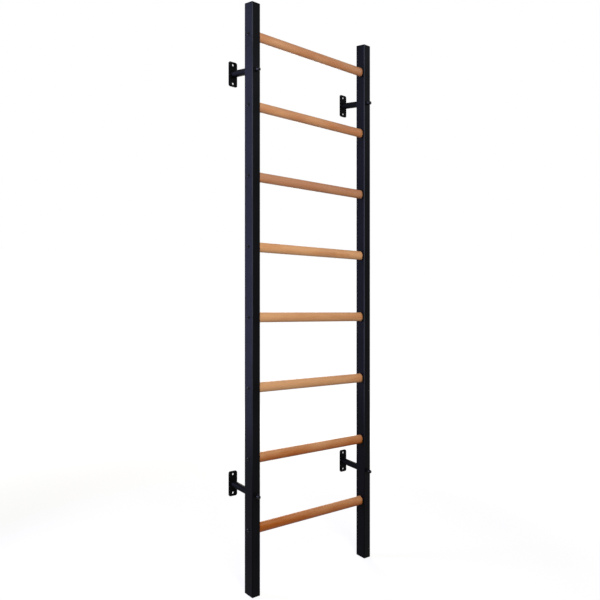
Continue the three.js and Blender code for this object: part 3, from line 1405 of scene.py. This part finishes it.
@dataclass
class WallFixings:
    """The four wall brackets, each with a washer and a domed nut on the front of the upright."""

    shop: Paintshop
    plate: float = 5 * MM
    plate_corner: float = 8 * MM
    plate_corner_steps: int = 8
    edge: float = 0.7 * MM
    edge_steps: int = 3
    screw_hole: float = 9 * MM
    screw_spacing: float = 75 * MM
    hole_sides: int = 40
    bracket_sharp: float = 40.0

    standoff: float = 27 * MM
    standoff_sides: int = 80
    stud: float = 10 * MM
    stud_root: float = 12 * MM
    stud_sides: int = 32
    stud_tip_steps: int = 1

    # The weld's section follows a circle from the first of these degrees to the last. Its lift and the
    # sizes of its ripple are shares of its radius.
    weld: float = 2.6 * MM
    weld_first: int = 75
    weld_last: int = -45
    weld_step: int = 20
    weld_lift: float = 0.2
    ripple_height: float = 0.35
    ripple_width: float = 1.6
    ripple_sink: float = 0.3

    room: float = ROOM
    washer_sides: int = 64
    washer_rim_share: float = 0.3
    nut_flats: float = 17 * MM
    nut_hexagon: float = 8 * MM
    nut_chamfer: float = 0.96 * MM
    nut_face: float = 16.32 * MM
    nut_dome: float = 16 * MM
    nut_thread: float = 12 * MM
    blank_share: float = 1.01
    blank_sides: int = 64
    dome_sides: int = 48

    def build(self) -> None:
        """Model one fixing, and copy it to the other corners."""
        start = "upper_left"
        origin = middle(f"bracket_washer_{start}")
        patterns = (
            Pattern(self.bracket(start), "bracket", Slot.BRACKET_PAINT, "wall_bracket"),
            Pattern(self.washer(start), "washer", Slot.FASTENER_BLACK, "bracket_washer"),
            Pattern(self.nut(start), "domed_nut", Slot.FASTENER_BLACK, "dome_nut"),
        )
        for level in Level:
            for side in Side:
                corner = f"{level.value}_{side.value}"
                if corner == start:
                    continue
                shift = middle(f"bracket_washer_{corner}") - origin
                for pattern in patterns:
                    twin = Bench.twin(pattern.piece, f"{pattern.name}_{corner}", shift)
                    self.shop.dress(twin, pattern.slot, f"{pattern.node}_{corner}")
        for pattern in patterns:
            self.shop.dress(pattern.piece, pattern.slot, f"{pattern.node}_{start}")

    def bracket(self, corner: str) -> Piece:
        """Model a bracket: a drilled plate with a standoff and its stud welded on.

        Args:
            corner: The corner of the frame that it holds.

        Returns:
            The finished bracket.
        """
        low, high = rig.box(f"wall_bracket_{corner}")
        axis = middle(f"bracket_washer_{corner}")
        tube_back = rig.box("left_upright")[1].y
        plate_face = high.y - self.plate
        bracket = Bench.block(f"bracket_{corner}", Vector((low.x, plate_face, low.z)), high)
        Bench.soften(bracket, runs_along(Axis.Y), self.plate_corner, self.plate_corner_steps)
        for place in (axis.z - self.screw_spacing / 2, axis.z + self.screw_spacing / 2):
            centre = Vector((axis.x, high.y, place))
            drill = Bench.rod(
                "screw_hole", Axis.Y, self.screw_hole / 2, 4 * self.plate, centre, self.hole_sides)
            Bench.combine(bracket, [drill], Work.CUT)
        Bench.soften(bracket, lies_at(Axis.Y, plate_face), self.edge, self.edge_steps)

        bar = self.welded_bar(Vector((axis.x, plate_face, axis.z)), tube_back)
        stud_end = tube_back + self.stud_root
        stud_centre = Vector((axis.x, (stud_end + low.y) / 2, axis.z))
        stud = Bench.rod("stud", Axis.Y, self.stud / 2, stud_end - low.y, stud_centre, self.stud_sides)
        Bench.soften(stud, lies_at(Axis.Y, low.y), self.edge, self.stud_tip_steps)
        Bench.combine(bracket, [bar, stud], Work.JOIN)
        Bench.polish(bracket, self.bracket_sharp)
        return bracket

    def welded_bar(self, foot: Vector, tip: float) -> Piece:
        """Model a standoff with its rippled weld, whose lower half lies in the plate.

        Args:
            foot: Where the standoff's axis meets the plate's face.
            tip: The Y of the end against the upright.

        Returns:
            The bar, which ends inside the plate.
        """
        radius = self.standoff / 2
        shoulder = foot.y - self.weld
        centre = Vector((foot.x, (tip + shoulder) / 2, foot.z))
        bar = Bench.rod("standoff", Axis.Y, radius, shoulder - tip, centre, self.standoff_sides)
        Bench.soften(bar, lies_at(Axis.Y, tip), self.edge, self.edge_steps)
        with Bench.editing(bar, Select.FACES):
            Bench.pick(bar, Select.FACES, looks_along(Axis.Y, 1))
            place, size = shoulder, radius
            for degrees in range(self.weld_first, self.weld_last - 1, -self.weld_step):
                angle = math.radians(degrees)
                next_place = foot.y - self.weld * math.sin(angle)
                next_size = radius + self.weld * (self.weld_lift + math.cos(angle))
                Bench.pull(Axis.Y, next_place - place)
                Bench.swell(Axis.Y, next_size / size)
                place, size = next_place, next_size
            Bench.pull(Axis.Y, foot.y + self.plate / 2 - place)
        self.ripple(bar, shoulder + GRIT, foot.y + self.ripple_sink * self.weld)
        return bar

    def ripple(self, bar: Piece, low: float, high: float) -> None:
        """Ripple a bar's weld.

        Args:
            bar: The bar to work on.
            low: The Y at which the weld starts.
            high: The Y at which the ripple ends, inside the plate.
        """
        weld = bar.vertex_groups.new(name="weld")
        weld.add([vert.index for vert in bar.data.vertices if low < vert.co.y < high], 1.0, "REPLACE")
        waves = bpy.data.textures.new("ripple", "CLOUDS")
        waves.noise_scale = self.ripple_width * self.weld
        strength = self.ripple_height * self.weld
        Bench.apply(bar, "DISPLACE", {"texture": waves, "strength": strength, "vertex_group": weld.name})
        bar.vertex_groups.clear()

    def washer(self, corner: str) -> Piece:
        """Model a washer with a rounded rim.

        Args:
            corner: The corner of the frame that it sits at.

        Returns:
            The finished washer.
        """
        low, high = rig.box(f"bracket_washer_{corner}")
        centre = (low + high) / 2
        radius = (high.z - low.z) / 2
        thickness = high.y - low.y
        rim = self.washer_rim_share * thickness
        washer = Bench.rod(f"washer_{corner}", Axis.Y, radius, thickness, centre, self.washer_sides)
        Bench.soften(washer, lies_at(Axis.Y, low.y), rim, self.edge_steps)
        hole = Bench.rod("hole", Axis.Y, self.stud / 2 + self.room, 4 * thickness, centre, self.hole_sides)
        Bench.combine(washer, [hole], Work.CUT)
        Bench.polish(washer)
        return washer

    def nut(self, corner: str) -> Piece:
        """Model a domed nut: a hexagon with turned-off corners, a dome and a blind bore.

        Args:
            corner: The corner of the frame that it sits at.

        Returns:
            The finished nut.
        """
        low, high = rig.box(f"dome_nut_{corner}")
        axis = (low + high) / 2
        seat = Vector((axis.x, high.y, axis.z))
        nut = self.hexagon(f"domed_nut_{corner}", seat)
        Bench.combine(nut, [self.dome(seat)], Work.JOIN)
        bore_depth = self.nut_thread + self.room
        bore = Bench.rod("bore", Axis.Y, self.stud / 2 + self.room, 2 * bore_depth, seat, self.hole_sides)
        Bench.combine(nut, [bore], Work.CUT)
        Bench.polish(nut)
        return nut

    def hexagon(self, name: str, seat: Vector) -> Piece:
        """Model a nut's hexagon, with its corners turned off at both ends.

        Args:
            name: The nut's name.
            seat: Where the nut's axis meets the washer.

        Returns:
            The hexagon.
        """
        radius = self.nut_flats / math.sqrt(3)
        centre = Vector((seat.x, seat.y - self.nut_hexagon / 2, seat.z))
        nut = Bench.rod(name, Axis.Y, radius, self.nut_hexagon, centre, HEXAGON)
        blank_radius = self.blank_share * radius
        blank_length = self.nut_hexagon - 2 * self.nut_chamfer
        blank = Bench.rod("blank", Axis.Y, blank_radius, blank_length, centre, self.blank_sides)
        with Bench.editing(blank, Select.FACES):
            for way in (-1, 1):
                Bench.pick(blank, Select.FACES, looks_along(Axis.Y, way))
                Bench.pull(Axis.Y, way * self.nut_chamfer)
                Bench.swell(Axis.Y, self.nut_face / 2 / blank_radius)
        Bench.combine(nut, [blank], Work.TRIM)
        return nut

    def dome(self, seat: Vector) -> Piece:
        """Model a nut's dome on a round neck that ends inside the hexagon.

        Args:
            seat: Where the nut's axis meets the washer.

        Returns:
            The dome.
        """
        centre = Vector((seat.x, seat.y - self.nut_thread, seat.z))
        dome = Bench.ball("dome", Axis.Y, self.nut_dome / 2, centre, self.dome_sides)
        Bench.slice_off(dome, centre, Axis.Y)
        with Bench.editing(dome, Select.FACES):
            Bench.pick(dome, Select.FACES, looks_along(Axis.Y, 1))
            Bench.pull(Axis.Y, self.nut_thread - self.nut_hexagon / 2)
        return dome


@dataclass(frozen=True)
class SoftLamp:
    """A flat studio lamp that points at a place."""

    name: str
    place: Triple
    target: Triple
    width: float
    height: float
    power: float
    spread: float = 180.0
    tint: Colour = (1.0, 1.0, 1.0)

    def hang(self) -> None:
        """Add the lamp to the scene."""
        bpy.ops.object.select_all(action="DESELECT")
        aim = (Vector(self.target) - Vector(self.place)).to_track_quat("-Z", "Y").to_euler()
        bpy.ops.object.light_add(type="AREA", location=self.place, rotation=aim)
        lamp = bpy.context.active_object
        lamp.name = self.name
        lamp.data.shape = "RECTANGLE"
        lamp.data.size = self.width
        lamp.data.size_y = self.height
        lamp.data.energy = self.power
        lamp.data.spread = math.radians(self.spread)
        lamp.data.color = self.tint
        lamp.visible_camera = False


@dataclass(frozen=True)
class Studio:
    """The white floor, the soft light and the camera."""

    # The floor is pale grey, so that a shadow shows on it, and its glow lifts it to white for the camera.
    floor_width: float = 60.0
    floor_drop: float = 1 * MM
    floor_white: float = 0.22
    floor_lift: float = 0.83
    shadow_fade: Pair = (1.2, 2.4)
    ambient: float = 0.1

    # The camera's place in metres, its turn in degrees, and its view in the photograph's pixels.
    camera_place: Triple = (-1.9345, -2.2152, 1.3744)
    camera_turn: float = 41.849
    camera_skew: float = 0.0889
    camera_far: float = 200.0
    focal_pixels: float = 675.99
    horizon_row: float = 245.52
    picture_pixels: int = 600
    sensor: float = 36.0

    lamps: tuple[SoftLamp, ...] = (
        SoftLamp(
            "window", place=(-1.27, 0.79, 1.55), target=(-0.33, -0.13, 1.55), width=0.55, height=2.5,
            power=33.0, spread=140.0, tint=(0.46, 0.49, 1.0)),
        SoftLamp(
            "front", place=(-1.1, -2.5, 2.3), target=(0.0, -0.1, 0.5), width=1.2, height=1.2, power=74.5),
        SoftLamp(
            "right", place=(2.0, -2.4, 2.9), target=(0.0, -0.1, 1.9), width=2.0, height=1.5, power=16.0,
            tint=(0.75, 0.82, 1.0)),
        SoftLamp(
            "back", place=(1.3, 2.3, 1.6), target=(0.0, -0.1, 1.2), width=1.6, height=1.6, power=52.0,
            tint=(1.0, 0.92, 0.78)),
    )

    def build(self) -> None:
        """Set up the stage."""
        self.floor()
        self.world()
        self.camera()
        for lamp in self.lamps:
            lamp.hang()
        bpy.context.scene.view_settings.view_transform = "Standard"

    @staticmethod
    def seen(graph: Graph) -> Wire:
        """One for camera, mirror and glass rays, and nought for the light that falls on the object."""
        path = graph.add("ShaderNodeLightPath", output="Is Camera Ray")
        return path.at_least(path.other("Is Glossy Ray")).at_least(path.other("Is Transmission Ray"))

    def floor(self) -> None:
        """Lay a matt white floor that keeps the object's shadow and fades into the background."""
        bpy.ops.object.select_all(action="DESELECT")
        bpy.ops.mesh.primitive_plane_add(size=self.floor_width, location=(0, 0, -self.floor_drop))
        floor = Bench.claim("studio_floor")
        matt = bpy.data.materials.new("floor_white")
        graph = Graph(matt)
        place = graph.place()
        reach = graph.add("ShaderNodeVectorMath", {"operation": "LENGTH"}, {0: place}, output="Value")
        far = graph.step(reach, *self.shadow_fade)
        glow = (self.floor_lift + (1.0 - self.floor_lift) * far) * self.seen(graph)
        white = (self.floor_white, self.floor_white, self.floor_white, 1.0)
        paint = graph.add("ShaderNodeBsdfDiffuse", None, {"Color": white})
        lift = graph.add("ShaderNodeEmission", None, {"Strength": glow})
        both = graph.add("ShaderNodeAddShader", None, {0: paint, 1: lift})
        graph.add("ShaderNodeOutputMaterial", None, {"Surface": both})
        floor.data.materials.append(matt)
        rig.stage(floor)

    def world(self) -> None:
        """Surround the object with even light in front of a white background."""
        world = bpy.data.worlds.new("studio")
        bpy.context.scene.world = world
        graph = Graph(world)
        strength = self.ambient + (1.0 - self.ambient) * self.seen(graph)
        sky = graph.add("ShaderNodeBackground", None, {"Color": (1.0, 1.0, 1.0, 1.0), "Strength": strength})
        graph.add("ShaderNodeOutputWorld", None, {"Surface": sky})

    def camera(self) -> None:
        """Stand the camera where the photograph was taken from.

        The photograph's uprights are plumb while its level lines slope, so the picture is skewed. The
        camera's mount carries that skew, and the drop of the view below the horizon.
        """
        bpy.ops.object.select_all(action="DESELECT")
        turn = (math.pi / 2, 0.0, -math.radians(self.camera_turn))
        bpy.ops.object.empty_add(location=self.camera_place, rotation=turn)
        mount = bpy.context.active_object
        mount.name = "camera_mount"
        bpy.ops.object.camera_add()
        camera = bpy.context.active_object
        camera.parent = mount
        drop = (self.picture_pixels / 2 - self.horizon_row) / self.focal_pixels
        camera.matrix_parent_inverse = Matrix(
            ((1, 0, 0, 0), (self.camera_skew, 1, drop, 0), (0, 0, 1, 0), (0, 0, 0, 1)))
        focal = self.focal_pixels * math.hypot(1.0, drop)
        camera.data.sensor_width = self.sensor
        camera.data.lens = self.sensor * focal / self.picture_pixels
        camera.data.clip_end = self.camera_far
        bpy.context.scene.camera = camera


def write_sizes(cad_box: Box, visual_box: Box) -> None:
    """Write the boxes of the frame and of the dressed model.

    Args:
        cad_box: The frame's lowest and highest corners.
        visual_box: The dressed model's lowest and highest corners.
    """
    boxes = {"cad": cad_box, "visual": visual_box}
    plain = {name: [list(corner) for corner in box] for name, box in boxes.items()}
    with open(SIZE_FILE, "w", encoding="utf-8") as file:
        json.dump(plain, file)
    LOG.info("sizes %s", plain)


def main() -> None:
    """Load the frame, build each sub-assembly and set up the studio."""
    logging.basicConfig(level=logging.INFO, format="%(message)s")
    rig.load()
    cad_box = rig.bounds()
    shop = Paintshop()
    for side in Side:
        Upright(side, shop).build()
    EndCaps(shop).build()
    Rungs(shop).build()
    WallFixings(shop).build()
    Studio().build()
    write_sizes(cad_box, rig.bounds())


if __name__ == "__main__":
    main()
